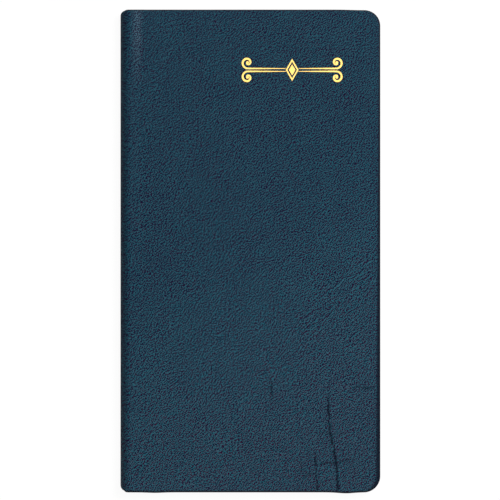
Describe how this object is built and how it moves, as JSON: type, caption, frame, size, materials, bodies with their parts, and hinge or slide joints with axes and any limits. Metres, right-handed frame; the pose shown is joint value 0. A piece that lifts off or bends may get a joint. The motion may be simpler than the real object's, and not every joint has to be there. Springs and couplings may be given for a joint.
{
  "type": "address book",
  "caption": "Slim pocket address book with a grained leather case, gold scroll stamp, rounded back and a sewn, step-cut alphabetical index of turning leaves.",
  "frame": {"origin": "middle of the underside of the closed book", "axes": "+Z out of the front cover, +Y to the head, +X to the fore-edge; the spine is at -X"},
  "size_m": [0.0888, 0.165, 0.01],
  "materials": {
    "leather": "grained, satin",
    "foil": "stamped gold foil",
    "board": "grey-brown board",
    "liner": "thin card strip",
    "endpaper": "laid endpaper",
    "leaves": "cream writing paper",
    "tab": "laminated",
    "thread": "waxed linen thread"
  },
  "bodies": {
    "back_cover": {"back_cover_leather": "leather", "back_board": "board", "back_spine_liner": "liner", "back_pastedown": "endpaper"},
    "back_endleaf": {"back_flyleaf": "endpaper"},
    "section_wz": {"leaves_wz": "leaves", "tab_wz": "tab", "thread_wz": "thread"},
    "section_uv": {"leaves_uv": "leaves", "tab_uv": "tab", "thread_uv": "thread"},
    "section_st": {"leaves_st": "leaves", "tab_st": "tab", "thread_st": "thread"},
    "section_qr": {"leaves_qr": "leaves", "tab_qr": "tab", "thread_qr": "thread"},
    "section_op": {"leaves_op": "leaves", "tab_op": "tab", "thread_op": "thread"},
    "section_mn": {"leaves_mn": "leaves", "tab_mn": "tab", "thread_mn": "thread"},
    "section_kl": {"leaves_kl": "leaves", "tab_kl": "tab", "thread_kl": "thread"},
    "section_ij": {"leaves_ij": "leaves", "tab_ij": "tab", "thread_ij": "thread"},
    "section_gh": {"leaves_gh": "leaves", "tab_gh": "tab", "thread_gh": "thread"},
    "section_ef": {"leaves_ef": "leaves", "tab_ef": "tab", "thread_ef": "thread"},
    "section_cd": {"leaves_cd": "leaves", "tab_cd": "tab", "thread_cd": "thread"},
    "section_ab": {"leaves_ab": "leaves", "tab_ab": "tab", "thread_ab": "thread"},
    "front_endleaf": {"front_flyleaf": "endpaper"},
    "front_cover": {"front_cover_leather": "leather", "front_board": "board", "front_spine_liner": "liner", "front_pastedown": "endpaper", "foil_ornament": "foil"}
  },
  "joints": [
    {"name": "turn_back_endleaf", "type": "hinge", "parent": "back_cover", "child": "back_endleaf", "pos_m": [-0.04445, 0, 0.005], "axis": [0, -1, 0], "range_deg": [0, 180]},
    {"name": "turn_section_wz", "type": "hinge", "parent": "back_endleaf", "child": "section_wz", "pos_m": [-0.04445, 0, 0.005], "axis": [0, -1, 0], "range_deg": [0, 180]},
    {"name": "turn_section_uv", "type": "hinge", "parent": "section_wz", "child": "section_uv", "pos_m": [-0.04445, 0, 0.005], "axis": [0, -1, 0], "range_deg": [0, 180]},
    {"name": "turn_section_st", "type": "hinge", "parent": "section_uv", "child": "section_st", "pos_m": [-0.04445, 0, 0.005], "axis": [0, -1, 0], "range_deg": [0, 180]},
    {"name": "turn_section_qr", "type": "hinge", "parent": "section_st", "child": "section_qr", "pos_m": [-0.04445, 0, 0.005], "axis": [0, -1, 0], "range_deg": [0, 180]},
    {"name": "turn_section_op", "type": "hinge", "parent": "section_qr", "child": "section_op", "pos_m": [-0.04445, 0, 0.005], "axis": [0, -1, 0], "range_deg": [0, 180]},
    {"name": "turn_section_mn", "type": "hinge", "parent": "section_op", "child": "section_mn", "pos_m": [-0.04445, 0, 0.005], "axis": [0, -1, 0], "range_deg": [0, 180]},
    {"name": "turn_section_kl", "type": "hinge", "parent": "section_mn", "child": "section_kl", "pos_m": [-0.04445, 0, 0.005], "axis": [0, -1, 0], "range_deg": [0, 180]},
    {"name": "turn_section_ij", "type": "hinge", "parent": "section_kl", "child": "section_ij", "pos_m": [-0.04445, 0, 0.005], "axis": [0, -1, 0], "range_deg": [0, 180]},
    {"name": "turn_section_gh", "type": "hinge", "parent": "section_ij", "child": "section_gh", "pos_m": [-0.04445, 0, 0.005], "axis": [0, -1, 0], "range_deg": [0, 180]},
    {"name": "turn_section_ef", "type": "hinge", "parent": "section_gh", "child": "section_ef", "pos_m": [-0.04445, 0, 0.005], "axis": [0, -1, 0], "range_deg": [0, 180]},
    {"name": "turn_section_cd", "type": "hinge", "parent": "section_ef", "child": "section_cd", "pos_m": [-0.04445, 0, 0.005], "axis": [0, -1, 0], "range_deg": [0, 180]},
    {"name": "turn_section_ab", "type": "hinge", "parent": "section_cd", "child": "section_ab", "pos_m": [-0.04445, 0, 0.005], "axis": [0, -1, 0], "range_deg": [0, 180]},
    {"name": "turn_front_endleaf", "type": "hinge", "parent": "section_ab", "child": "front_endleaf", "pos_m": [-0.04445, 0, 0.005], "axis": [0, -1, 0], "range_deg": [0, 180]},
    {"name": "turn_front_cover", "type": "hinge", "parent": "front_endleaf", "child": "front_cover", "pos_m": [-0.04445, 0, 0.005], "axis": [0, -1, 0], "range_deg": [0, 180]}
  ]
}
